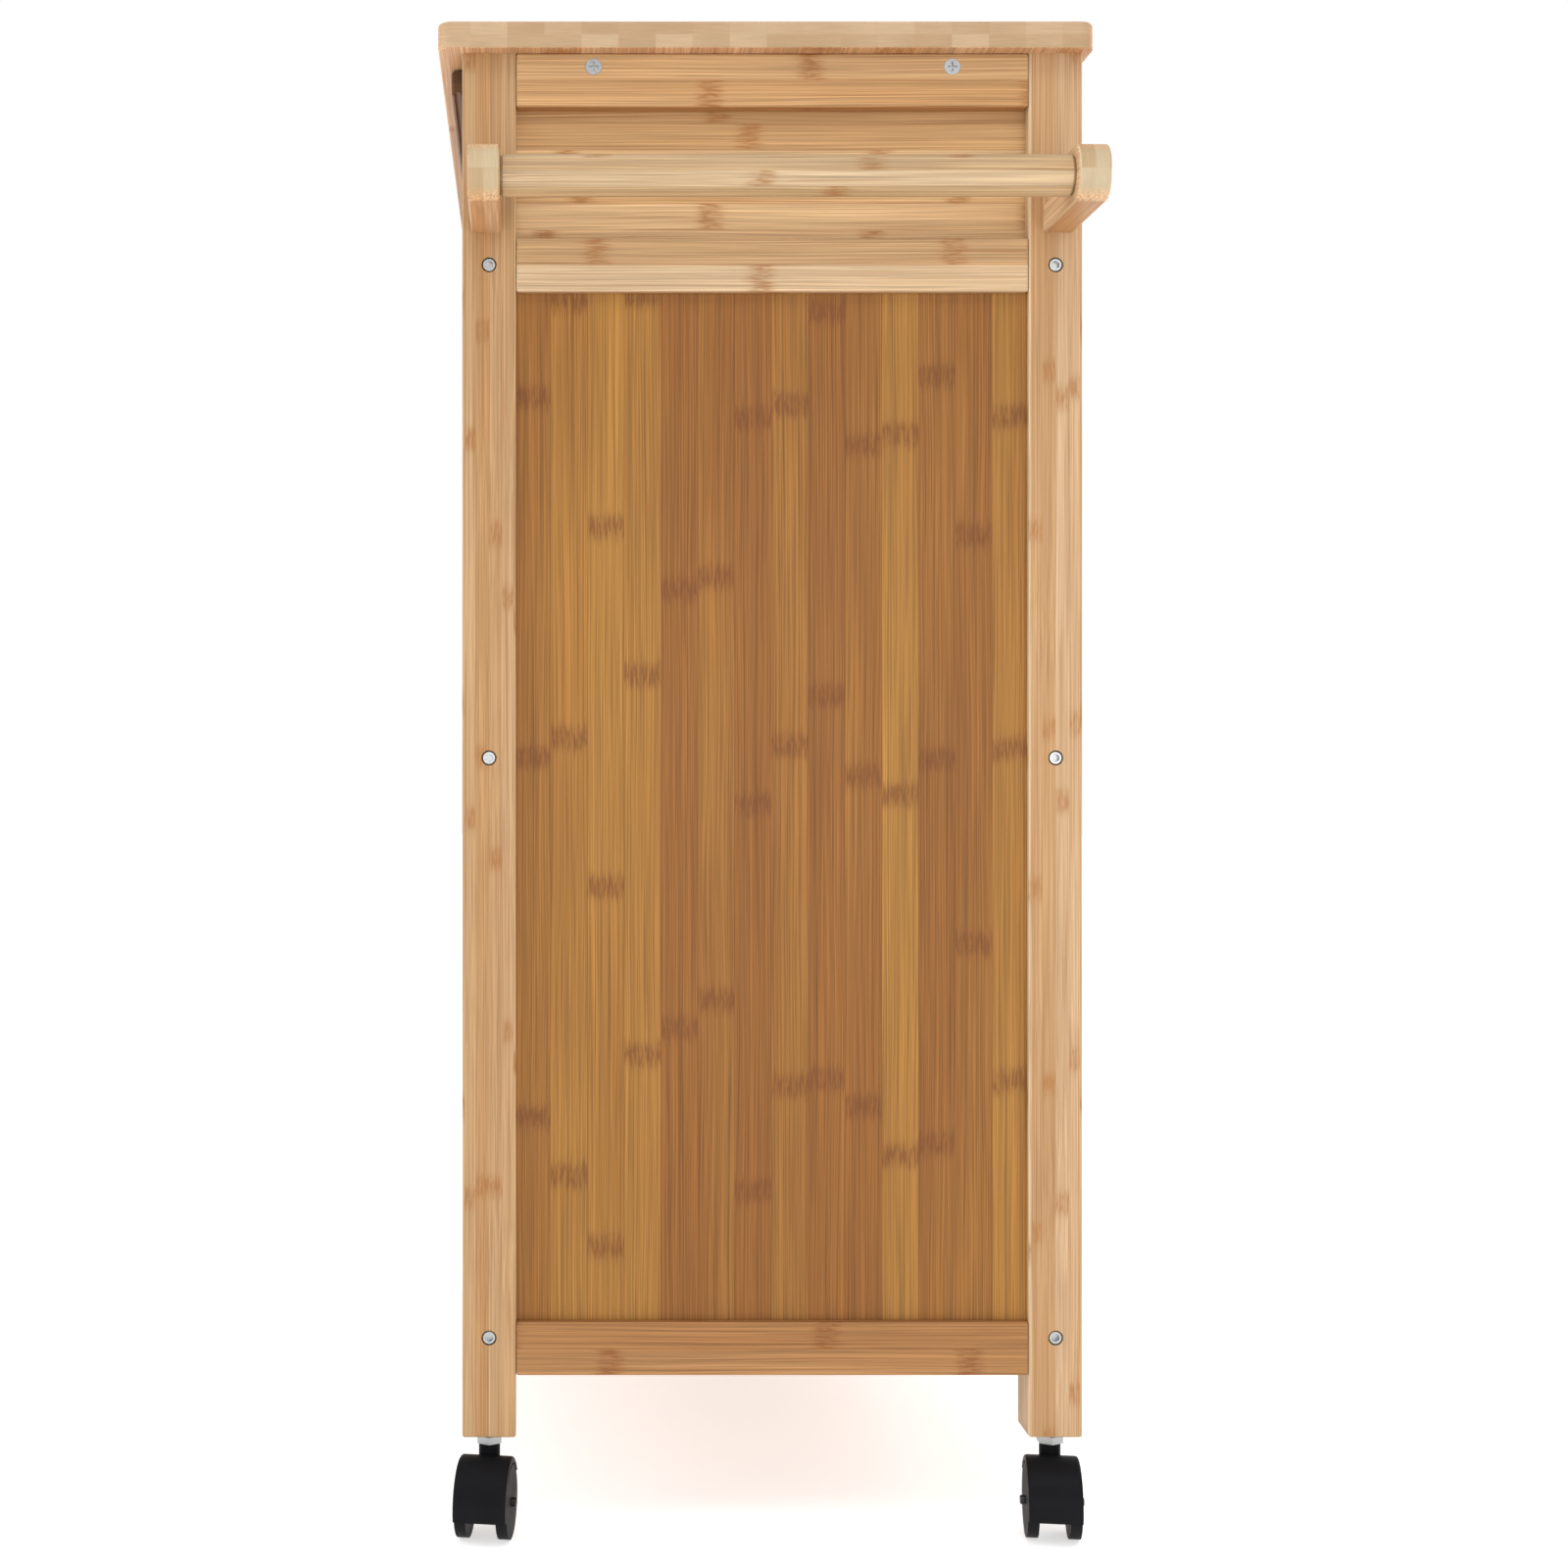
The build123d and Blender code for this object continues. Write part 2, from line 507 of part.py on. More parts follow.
with BuildPart() as cleat_screws:
    for side in SIDES.values():
        for y in CLEAT_SCREW_Y:
            with Locations(outward(side, y, CLEAT_SCREW_Z, 0.15)):
                add(long_screw)
        for y in TOP_SCREW_Y:
            under = Plane(origin=(face_x(side, CLEAT_X), y, TOP_UNDER - CLEAT_HIGH + 0.05), z_dir=(0, 0, -1))
            with Locations(under):
                add(top_screw)
save(cleat_screws, "cleat_screws")

# ---- screws: leg to bracket, and bracket to bar ----
with BuildPart() as towel_rail_screws:
    for end_name, end in ENDS.items():
        y = BRACKET_Y[end_name]
        for rise in (-BRACKET_SCREW_RISE, BRACKET_SCREW_RISE):
            head_depth = LEG - BRACKET_HEAD_HIGH - BRACKET_HEAD_SUNK
            head = Plane(origin=(face_x(1, head_depth), y, TOWEL_Z + rise), z_dir=(-1, 0, 0))
            with BuildSketch(head):
                Circle(BRACKET_HEAD_R)
            extrude(amount=BRACKET_HEAD_HIGH)
            with BuildSketch(head):
                Circle(BRACKET_SCREW_R)
            extrude(amount=-BRACKET_SCREW_LONG)
        seat = Plane(origin=(BAR_X, y + end * (BRACKET_THICK / 2 - 0.15), TOWEL_Z), z_dir=(0, end, 0))
        with Locations(seat):
            add(long_screw)
save(towel_rail_screws, "towel_rail_screws")

# ---- caster stems and the threaded inserts they screw into ----
with BuildPart() as caster_stems:
    for side in SIDES.values():
        for end in ENDS.values():
            x = face_x(side, LEG / 2)
            y = leg_y(end)
            for radius, low, high in ((STEM_R, STEM_LOW, STEM_TOP), (SHOULDER_R, COLLAR_HIGH, LEG_BOTTOM)):
                with BuildSketch(Plane(origin=(x, y, low))):
                    Circle(radius)
                extrude(amount=high - low)
            with BuildSketch(Plane(origin=(x, y, COLLAR_LOW))):
                RegularPolygon(COLLAR_FLATS / math.sqrt(3), 6)
            extrude(amount=COLLAR_HIGH - COLLAR_LOW)
save(caster_stems, "caster_stems")

with BuildPart() as threaded_inserts:
    for side in SIDES.values():
        for end in ENDS.values():
            with BuildSketch(Plane(origin=(face_x(side, LEG / 2), leg_y(end), LEG_BOTTOM))):
                Circle(INSERT_R)
                Circle(STEM_R + FIT, mode=Mode.SUBTRACT)
            extrude(amount=INSERT_LONG)
save(threaded_inserts, "threaded_inserts")


# ---- casters: hood that swivels on the stem, axle, and two wheels ----
def caster(x, y, turn, name):
    """Twin-wheel caster under (x, y), its wheels trailing in the direction turn (degrees from +X)."""
    trail = Vector(math.cos(math.radians(turn)), math.sin(math.radians(turn)), 0)
    across = Vector(trail.Y, -trail.X, 0)
    middle = Plane(origin=(x, y, 0), x_dir=trail, z_dir=across)
    hub = Vector(x, y, WHEEL_R) + trail * TRAIL

    with BuildPart() as hood:
        with BuildSketch(middle):
            with Locations((TRAIL, WHEEL_R)):
                Circle(HOOD_R)
                Circle(HOOD_INSIDE_R, mode=Mode.SUBTRACT)
            with Locations((TRAIL, HOOD_LOW - HOOD_R), (TRAIL - HOOD_R, HOOD_LIP - HOOD_R)):
                Rectangle(2.2 * HOOD_R, 2 * HOOD_R, mode=Mode.SUBTRACT)
        extrude(amount=HOOD_WIDE / 2, both=True)
        rims = hood.edges().filter_by(GeomType.CIRCLE).filter_by(lambda edge: edge.radius > HOOD_INSIDE_R + 1)
        fillet(rims, HOOD_RIM)
        with BuildSketch(middle):
            with Locations((TRAIL, WHEEL_R)):
                Circle(HOOD_INSIDE_R + 0.6)
            with Locations((TRAIL, HOOD_LOW - HOOD_R), (TRAIL - WEB_HUB - 1.1 * HOOD_R, HOOD_LIP - HOOD_R)):
                Rectangle(2.2 * HOOD_R, 2 * HOOD_R, mode=Mode.SUBTRACT)
        extrude(amount=WEB_WIDE / 2, both=True)
        with BuildSketch(middle):
            with Locations((TRAIL, WHEEL_R)):
                Circle(WEB_HUB)
        extrude(amount=WEB_WIDE / 2, both=True)
        with BuildSketch(Plane(origin=(x, y, NECK_ROOT))):
            Circle(NECK_R)
        extrude(amount=NECK_TOP - NECK_ROOT)
        with BuildSketch(Plane(origin=(x, y, STEM_LOW - 0.5))):
            Circle(STEM_R + FIT)
        extrude(amount=NECK_TOP - STEM_LOW + 2 * NECK_R, mode=Mode.SUBTRACT)
        with BuildSketch(Plane(origin=hub, x_dir=trail, z_dir=across)):
            Circle(AXLE_R + FIT)
        extrude(amount=HOOD_WIDE, both=True, mode=Mode.SUBTRACT)
    save(hood, f"caster_hood_{name}")

    with BuildPart() as axle:
        with BuildSketch(Plane(origin=hub, x_dir=trail, z_dir=across)):
            Circle(AXLE_R)
        extrude(amount=AXLE_LONG / 2, both=True)
        chamfer(axle.edges().filter_by(GeomType.CIRCLE), 0.4)
    save(axle, f"caster_axle_{name}")

    for letter, out in (("a", 1), ("b", -1)):
        with BuildPart() as wheel:
            half = Plane(origin=hub, x_dir=across * out, z_dir=(across * out).cross(Vector(0, 0, 1)))
            with BuildSketch(half):
                with BuildLine():
                    Polyline((SHOULDER_X, WHEEL_R), (WHEEL_INNER + 1, WHEEL_R), (WHEEL_INNER, WHEEL_R - 1),
                             (WHEEL_INNER, RIM_R), (WHEEL_INNER + 3, RIM_R - 1), (WHEEL_INNER + 3, HUB_R + 1),
                             (WHEEL_INNER, HUB_R), (WHEEL_INNER, AXLE_R + FIT), (BORE_END, AXLE_R + FIT),
                             (BORE_END, 0), (WHEEL_OUTER, 0), (WHEEL_OUTER, CAP_R))
                    ThreePointArc((WHEEL_OUTER, CAP_R), (WHEEL_OUTER - 1.2, (WHEEL_R + CAP_R) / 2 + 1.0),
                                  (SHOULDER_X, WHEEL_R))
                make_face()
            revolve(axis=Axis(hub, across))
        save(wheel, f"caster_wheel_{letter}_{name}")


for end_name, end in ENDS.items():
    for side_name, side in SIDES.items():
        name = f"{end_name}_{side_name}"
        caster(face_x(side, LEG / 2), leg_y(end), CASTER_TURN[name], name)
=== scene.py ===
import json
import math

import bpy
from bpy.props import FloatProperty, FloatVectorProperty, PointerProperty
from mathutils import Matrix, Vector

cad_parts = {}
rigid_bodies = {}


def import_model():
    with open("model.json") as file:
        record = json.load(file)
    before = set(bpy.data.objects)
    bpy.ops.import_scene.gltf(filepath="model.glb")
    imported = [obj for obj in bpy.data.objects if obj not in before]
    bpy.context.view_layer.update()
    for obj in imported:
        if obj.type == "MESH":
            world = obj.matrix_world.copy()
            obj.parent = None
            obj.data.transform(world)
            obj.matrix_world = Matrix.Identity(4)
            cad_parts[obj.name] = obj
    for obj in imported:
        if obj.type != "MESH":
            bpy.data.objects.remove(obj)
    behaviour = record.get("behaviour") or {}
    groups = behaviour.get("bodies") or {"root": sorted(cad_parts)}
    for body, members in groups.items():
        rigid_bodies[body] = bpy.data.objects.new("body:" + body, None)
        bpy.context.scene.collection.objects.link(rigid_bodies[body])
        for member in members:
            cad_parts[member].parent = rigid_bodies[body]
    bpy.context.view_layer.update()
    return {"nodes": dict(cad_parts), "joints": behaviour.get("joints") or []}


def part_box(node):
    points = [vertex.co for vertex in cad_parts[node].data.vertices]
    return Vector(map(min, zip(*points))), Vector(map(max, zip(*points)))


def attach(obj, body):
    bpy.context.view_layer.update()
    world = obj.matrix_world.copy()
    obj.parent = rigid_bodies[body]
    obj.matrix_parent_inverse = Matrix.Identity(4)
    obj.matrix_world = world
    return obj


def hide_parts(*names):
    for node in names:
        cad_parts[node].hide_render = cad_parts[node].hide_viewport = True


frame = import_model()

bl_info = {
    "name": "Rolling bamboo cart",
    "version": (1, 0, 0),
    "blender": (4, 5, 0),
    "location": "View3D > Sidebar > Cart",
    "description": "Bamboo, steel and plastic finishes and moulded casters for a rolling utility cart",
    "category": "Object",
}

NODES = frame["nodes"]
JOINTS = {joint["name"]: joint for joint in frame["joints"]}
MM = 0.001

# each board's tint, fitted to its average colour: the board's own shade together with painted light and
# shade, as the front leg darkened and the back leg lightened for the light that falls on them
# differently, and the recessed side board darkened by painted shade
TINTS_WITH_PAINTED_LIGHT = {
    "leg_front_right": (0.80, 0.87, 0.86),
    "leg_back_right": (0.89, 1.02, 1.12),
    "side_rail_bottom_right": (0.54, 0.44, 0.31),
    "side_rail_middle_right": (0.77, 0.83, 0.86),
    "side_rail_top_right": (0.74, 0.68, 0.55),
    "side_board_right": (0.84, 0.84, 0.76),
    "towel_bar": (0.76, 0.88, 0.98),
    "towel_bracket_front": (0.94, 0.98, 1.02),
    "towel_bracket_back": (0.90, 0.93, 0.95),
}

# cut ends are paler and greyer than the faces along the grain
END_GRAIN = (0.76, 0.90, 1.00)


# ---- settings ----
def colour(name, description, default):
    """A linear RGB colour setting."""
    return FloatVectorProperty(name=name, description=description, subtype="COLOR", size=3,
                               min=0.0, max=1.0, default=default)


def length(name, description, default):
    """A length setting in metres."""
    return FloatProperty(name=name, description=description, default=default, min=0.0, unit="LENGTH")


def amount(name, description, default):
    """A plain factor."""
    return FloatProperty(name=name, description=description, default=default, min=0.0)


class CartWoodSettings(bpy.types.PropertyGroup):
    """Colours and laminate sizes of the bamboo."""
    pale: colour("Pale strip", "Lightest natural bamboo strip", (0.700, 0.460, 0.265))
    honey: colour("Honey strip", "Darkest natural bamboo strip", (0.560, 0.320, 0.150))
    knuckle: colour("Knuckle", "Brown of the natural bamboo's knuckles", (0.360, 0.132, 0.032))
    top_pale: colour("Worktop pale", "Lightest worktop strip", (0.600, 0.355, 0.192))
    top_honey: colour("Worktop honey", "Darkest worktop strip", (0.510, 0.282, 0.142))
    golden: colour("Caramel golden", "Golden strip of the steamed bamboo", (0.326, 0.151, 0.027))
    reddish: colour("Caramel red", "Reddish strip of the steamed bamboo", (0.232, 0.088, 0.015))
    caramel_knuckle: colour("Caramel knuckle", "Knuckles of the steamed bamboo", (0.140, 0.042, 0.008))
    # painted shade: the pulls' dark browns stand for the shade they sit in under the worktop's overhang
    pull_painted_shade_light: colour("Pull light", "Lighter strip of the dark drawer pulls", (0.150, 0.062, 0.024))
    pull_painted_shade_dark: colour("Pull dark", "Darker strip of the dark drawer pulls", (0.090, 0.034, 0.013))
    pull_painted_shade_knuckle: colour("Pull knuckle", "Knuckles of the dark drawer pulls", (0.030, 0.011, 0.005))
    frame_strip: length("Frame strip", "Width of the strips in legs and rails", 0.015)
    panel_strip: length("Panel strip", "Width of the strips in panels and shelves", 0.0206)
    top_strip: length("Worktop strip", "Width of the strips in the worktop", 0.0205)
    gloss: amount("Lacquer roughness", "Mean roughness of the satin lacquer", 0.44)


class CartHardwareSettings(bpy.types.PropertyGroup):
    """Colours of the metal and the plastic."""
    zinc: colour("Zinc", "Zinc-plated steel", (0.400, 0.408, 0.412))
    axle_black: colour("Axle", "Blackened steel of the caster axles", (0.060, 0.060, 0.063))
    hood_black: colour("Hood", "Moulded caster hood", (0.0075, 0.0075, 0.0088))
    wheel_black: colour("Wheel", "Moulded caster wheel", (0.0095, 0.0095, 0.0105))


class CartStageSettings(bpy.types.PropertyGroup):
    """Floor, lights and camera."""
    floor: colour("Floor", "Pale studio floor", (0.860, 0.860, 0.855))
    eye_distance: length("Eye distance", "Camera's distance from the cart's end", 1.275)
    eye_height: length("Eye height", "Camera's height above the floor", 0.4467)
    eye_side: FloatProperty(name="Eye offset", description="Camera's place along the cart's depth",
                            default=-0.1314, unit="LENGTH")
    lens: amount("Lens", "Focal length in millimetres", 52.5)


# ---- node helpers ----
def node(tree, kind, inputs=None, **values):
    """Adds a node, sets its values, and fills its inputs with constants or links."""
    made = tree.nodes.new(kind)
    for key, value in values.items():
        setattr(made, key, value)
    for key, value in (inputs or {}).items():
        if isinstance(value, bpy.types.NodeSocket):
            tree.links.new(value, made.inputs[key])
        else:
            made.inputs[key].default_value = value
    return made


def calc(tree, operation, *values):
    """A Math node's result."""
    return node(tree, "ShaderNodeMath", dict(enumerate(values)), operation=operation).outputs[0]


def times(tree, first, second):
    """The product of two numbers."""
    return calc(tree, "MULTIPLY", first, second)


def plus(tree, first, second):
    """The sum of two numbers."""
    return calc(tree, "ADD", first, second)


def minus(tree, first, second):
    """The difference of two numbers."""
    return calc(tree, "SUBTRACT", first, second)


def joined(tree, x, y, z=0.0):
    """A vector from three numbers."""
    return node(tree, "ShaderNodeCombineXYZ", {0: x, 1: y, 2: z}).outputs[0]


def noise(tree, vector, scale=1.0, detail=2.0, rough=0.5):
    """A noise value at a vector."""
    made = node(tree, "ShaderNodeTexNoise", {"Vector": vector, "Scale": scale, "Detail": detail,
                                             "Roughness": rough})
    return made.outputs[0]


def mixed(tree, factor, first, second, blend="MIX"):
    """A colour mix."""
    made = node(tree, "ShaderNodeMix", data_type="RGBA", blend_type=blend)
    for socket, value in ((made.inputs[0], factor), (made.inputs[6], first), (made.inputs[7], second)):
        if isinstance(value, bpy.types.NodeSocket):
            tree.links.new(value, socket)
        else:
            socket.default_value = value
    return made.outputs[2]


def ranged(tree, value, low, high, to_low=0.0, to_high=1.0, smooth=False):
    """A value remapped from one range to another, clamped."""
    made = node(tree, "ShaderNodeMapRange", {0: value, 1: low, 2: high, 3: to_low, 4: to_high},
                interpolation_type="SMOOTHSTEP" if smooth else "LINEAR")
    return made.outputs[0]


def rgba(value):
    """A colour setting with full alpha."""
    return (*value, 1.0)


def new_material(name):
    """An empty node material and its Principled shader."""
    made = bpy.data.materials.new(name)
    made.use_nodes = True
    made.node_tree.nodes.clear()
    tree = made.node_tree
    shader = node(tree, "ShaderNodeBsdfPrincipled")
    node(tree, "ShaderNodeOutputMaterial", {"Surface": shader.outputs[0]})
    return made, tree, shader


# ---- bamboo ----
# frequencies along and across the grain, detail and share of each band of fibres
FIBRE_BANDS = ((2.2, 420.0, 2.0, 0.20), (6.0, 1300.0, 2.0, 0.45), (14.0, 2400.0, 2.0, 0.35))
FIBRE_ROUGH = 0.6
LINE_BAND = (8.0, 1700.0, 1.0)            # the sparse dark fibres
LINE_RANGE = (0.54, 0.66)
DRIFT_BAND = (3.2, 26.0)                  # slow change of tone within a strip
STRIP_SHIFT_ALONG, STRIP_SHIFT_ACROSS = 7.31, 3.7    # how far strips' own fibres are apart
WANDER_PER_METRE, WANDER = 5.0, 4.0 * MM  # how the fibres wander sideways
KNUCKLE_PITCH = (170.0 * MM, 80.0 * MM)   # least distance between knuckles, and its spread
KNUCKLE_TURNS = 9.0                       # how far strips are out of step
RIPPLE_PER_METRE, RIPPLE = 520.0, 13.0 * MM
KNUCKLE_EDGE = (9.0 * MM, 2.0 * MM)       # from none to full
HALO_EDGE = (12.0 * MM, 1.0 * MM)
SPECK_BAND = (120.0, 900.0)
SPECK_RANGE = (0.43, 0.56)
SEAM_EDGE = (0.35 * MM, 0.05 * MM)


def bamboo_group():
    """Node group: strips, fibres and knuckles from metres along, across and into a laminated board."""
    group = bpy.data.node_groups.new("Bamboo laminate", "ShaderNodeTree")
    for name in ("Along", "Across", "Depth", "Strip", "Layer", "Seed"):
        group.interface.new_socket(name, in_out="INPUT", socket_type="NodeSocketFloat")
    for name in ("Tone", "Drift", "Fibre", "Line", "Knuckle", "Dash", "Seam"):
        group.interface.new_socket(name, in_out="OUTPUT", socket_type="NodeSocketFloat")
    given = node(group, "NodeGroupInput").outputs
    along, across, depth, strip, layer, seed = (given[k] for k in range(6))

    column = calc(group, "DIVIDE", across, strip)
    row = calc(group, "DIVIDE", depth, layer)
    cell = joined(group, calc(group, "FLOOR", column), calc(group, "FLOOR", row), seed)
    random = node(group, "ShaderNodeTexWhiteNoise", {"Vector": cell}, noise_dimensions="3D")
    split = node(group, "ShaderNodeSeparateColor", {0: random.outputs["Color"]})
    tone, phase, spare = split.outputs[0], split.outputs[1], split.outputs[2]

    # each strip has fibres of its own
    shift = times(group, spare, STRIP_SHIFT_ALONG)
    lie = plus(group, along, shift)
    inside = plus(group, across, times(group, phase, STRIP_SHIFT_ACROSS))
    wander = noise(group, joined(group, times(group, along, WANDER_PER_METRE), shift, seed), detail=1.0)
    inside = plus(group, inside, times(group, wander, WANDER))

    def streaks(per_metre_along, per_metre_across, detail, rough=FIBRE_ROUGH):
        """Noise drawn out along the grain."""
        vector = joined(group, times(group, lie, per_metre_along), times(group, inside, per_metre_across),
                        times(group, depth, per_metre_across))
        return noise(group, vector, detail=detail, rough=rough)

    bands = [times(group, streaks(*band[:3]), band[3]) for band in FIBRE_BANDS]
    fibre = plus(group, plus(group, bands[0], bands[1]), bands[2])
    line = ranged(group, streaks(*LINE_BAND), *LINE_RANGE)
    drift = noise(group, joined(group, times(group, lie, DRIFT_BAND[0]),
                                times(group, inside, DRIFT_BAND[1]), seed), detail=1.0)

    # a knuckle crosses each strip every 17 to 25 cm
    pitch = plus(group, times(group, spare, KNUCKLE_PITCH[1]), KNUCKLE_PITCH[0])
    turns = plus(group, calc(group, "DIVIDE", along, pitch), times(group, phase, KNUCKLE_TURNS))
    away = times(group, minus(group, calc(group, "FRACT", turns), 0.5), pitch)
    ripple = noise(group, joined(group, times(group, inside, RIPPLE_PER_METRE), shift, depth), detail=1.0)
    away = plus(group, away, times(group, minus(group, ripple, 0.5), RIPPLE))
    far = calc(group, "ABSOLUTE", away)
    knuckle = ranged(group, far, *KNUCKLE_EDGE, smooth=True)
    halo = ranged(group, far, *HALO_EDGE, smooth=True)
    speck = streaks(*SPECK_BAND, detail=2.0, rough=0.5)
    dash = times(group, ranged(group, speck, *SPECK_RANGE), knuckle)

    edge = calc(group, "ABSOLUTE", minus(group, calc(group, "FRACT", column), 0.5))
    edge = times(group, minus(group, 0.5, edge), strip)
    seam = ranged(group, edge, *SEAM_EDGE)
    node(group, "NodeGroupOutput", {0: tone, 1: drift, 2: fibre, 3: line, 4: halo, 5: dash, 6: seam})
    return group


FRAME_LAYER = 7.5 * MM                    # thickness of a layer of strips
PANEL_LAYER = 20.0 * MM                   # thicker than any panel, so it is one layer
PANEL_CONTRAST = 1.1
END_FACING = (0.55, 0.85)                 # how square a face is to the grain, from side to end
TONE_SHARE, DRIFT_SHARE = 0.75, 0.7
TONE_RANGE = (0.42, 0.92)
FIBRE_RANGE = (0.36, 0.64)
FIBRE_DARK, FIBRE_BRIGHT = 0.42, 0.36
PORE_ACROSS, PORE_DEEP = 60.0, 900.0      # per metre
PORE_RANGE = (0.3, 0.7, 0.93, 1.05)
LINE_STRENGTH, HALO_STRENGTH, DASH_STRENGTH, SEAM_STRENGTH = 0.36, 0.28, 0.58, 0.45
GLOSS_RANGE = (0.3, 0.7)
GLOSS_ROUGHER, GLOSS_SMOOTHER = 0.08, 0.06
SEAM_DEPTH, DASH_DEPTH = 0.8, 0.5
GRAIN_BUMP, GRAIN_HEIGHT = 0.22, 0.25 * MM
LACQUER_SPECULAR = 0.24


def bamboo(name, low, high, shades, strip, layer, seed=0.0, grain=None, contrast=1.0):
    """Bamboo whose grain runs along a board's longest side, with strips laid across its middle one."""
    made, tree, shader = new_material(f"{name} finish")
    # the tint holds the board's own shade together with painted light and shade
    tint = TINTS_WITH_PAINTED_LIGHT.get(name, (1.0, 1.0, 1.0))
    light, dark, mark = (rgba([value * part for value, part in zip(shade, tint)]) for shade in shades)
    size = high - low
    order = sorted(range(3), key=lambda k: size[k], reverse=True)
    if grain is not None:
        order = [grain] + [k for k in order if k != grain]
    place = node(tree, "ShaderNodeTexCoord").outputs["Object"]
    centred = node(tree, "ShaderNodeVectorMath", {0: place, 1: (low + high) / 2}, operation="SUBTRACT")
    axis = node(tree, "ShaderNodeSeparateXYZ", {0: centred.outputs[0]}).outputs
    normal = node(tree, "ShaderNodeTexCoord").outputs["Normal"]
    facing = calc(tree, "ABSOLUTE", node(tree, "ShaderNodeSeparateXYZ", {0: normal}).outputs[order[0]])
    end = ranged(tree, facing, *END_FACING)
    side = minus(tree, 1.0, end)
    pattern = node(tree, "ShaderNodeGroup", node_tree=bpy.data.node_groups["Bamboo laminate"])
    for key, value in (("Along", axis[order[0]]), ("Across", axis[order[1]]), ("Depth", axis[order[2]])):
        tree.links.new(value, pattern.inputs[key])
    for key, value in (("Strip", strip), ("Layer", layer), ("Seed", seed)):
        pattern.inputs[key].default_value = value
    tone, drift, fibre, line, halo, dash, seam = pattern.outputs

    blend = plus(tree, times(tree, tone, TONE_SHARE), times(tree, drift, DRIFT_SHARE))
    base = mixed(tree, ranged(tree, blend, *TONE_RANGE), light, dark)
    shade = ranged(tree, fibre, *FIBRE_RANGE, 1.0 - FIBRE_DARK * contrast, 1.0 + FIBRE_BRIGHT * contrast)
    pores = noise(tree, joined(tree, times(tree, axis[order[1]], PORE_ACROSS),
                               times(tree, axis[order[2]], PORE_DEEP)), detail=2.0)
    pores = ranged(tree, pores, *PORE_RANGE)
    shade = node(tree, "ShaderNodeMix", {0: end, 2: shade, 3: pores}).outputs[0]
    grey = node(tree, "ShaderNodeCombineColor", {0: shade, 1: shade, 2: shade}).outputs[0]
    base = mixed(tree, 1.0, base, grey, "MULTIPLY")
    base = mixed(tree, end, base, rgba(END_GRAIN), "MULTIPLY")
    marks = ((line, LINE_STRENGTH * contrast), (halo, HALO_STRENGTH), (dash, DASH_STRENGTH))
    for mask, strength in marks:
        base = mixed(tree, times(tree, times(tree, mask, strength), side), base, mark)
    seam_share = ranged(tree, times(tree, seam, side), 0.0, 1.0, 0.0, SEAM_STRENGTH)
    base = mixed(tree, seam_share, base, mark)
    tree.links.new(base, shader.inputs["Base Color"])

    gloss = bpy.context.scene.cart_wood.gloss
    rough = ranged(tree, fibre, *GLOSS_RANGE, gloss + GLOSS_ROUGHER, gloss - GLOSS_SMOOTHER)
    tree.links.new(rough, shader.inputs["Roughness"])
    height = minus(tree, fibre, times(tree, seam, SEAM_DEPTH))
    height = minus(tree, height, times(tree, dash, DASH_DEPTH))
    bump = node(tree, "ShaderNodeBump",
                {"Strength": GRAIN_BUMP, "Distance": GRAIN_HEIGHT, "Height": height})
    tree.links.new(bump.outputs[0], shader.inputs["Normal"])
    shader.inputs["Specular IOR Level"].default_value = LACQUER_SPECULAR
    return made


def dress(names, material_for):
    """Gives each CAD node in names a material made for its own box."""
    for index, name in enumerate(names):
        made = material_for(name, *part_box(name), index)
        for slot in NODES[name].material_slots:
            slot.material = made


def wood(name, low, high, seed, grain=None):
    """Natural bamboo of the frame."""
    w = bpy.context.scene.cart_wood
    return bamboo(name, low, high, (w.pale, w.honey, w.knuckle), w.frame_strip, FRAME_LAYER, seed, grain)


def caramel(name, low, high, seed, grain=None):
    """Steamed, darker bamboo of the panels."""
    w = bpy.context.scene.cart_wood
    return bamboo(name, low, high, (w.golden, w.reddish, w.caramel_knuckle), w.panel_strip, PANEL_LAYER,
                  seed, grain, contrast=PANEL_CONTRAST)


def only(piece):
    """Selects one object and makes it active."""
    bpy.ops.object.select_all(action="DESELECT")
    piece.select_set(True)
    bpy.context.view_layer.objects.active = piece


def corners(piece):
    """Lowest and highest corners of a piece at the origin."""
    places = [vertex.co for vertex in piece.data.vertices]
    return (Vector(min(place[k] for place in places) for k in range(3)),
            Vector(max(place[k] for place in places) for k in range(3)))


MERGE_BOARD = 0.01 * MM
BOARD_SHARP = 35            # degrees
BOARD_SEED_STEP = 3.1
FRAME_SEED_STEP = 1.7
# first random seed of each family of boards
SEEDS = {"cleat": 30.0, "panel": 40.0, "shelf": 50.0, "worktop": 60.0, "drawer": 70.0, "runner": 80.0,
         "wall": 84.0, "pull": 90.0, "towel": 100.0}


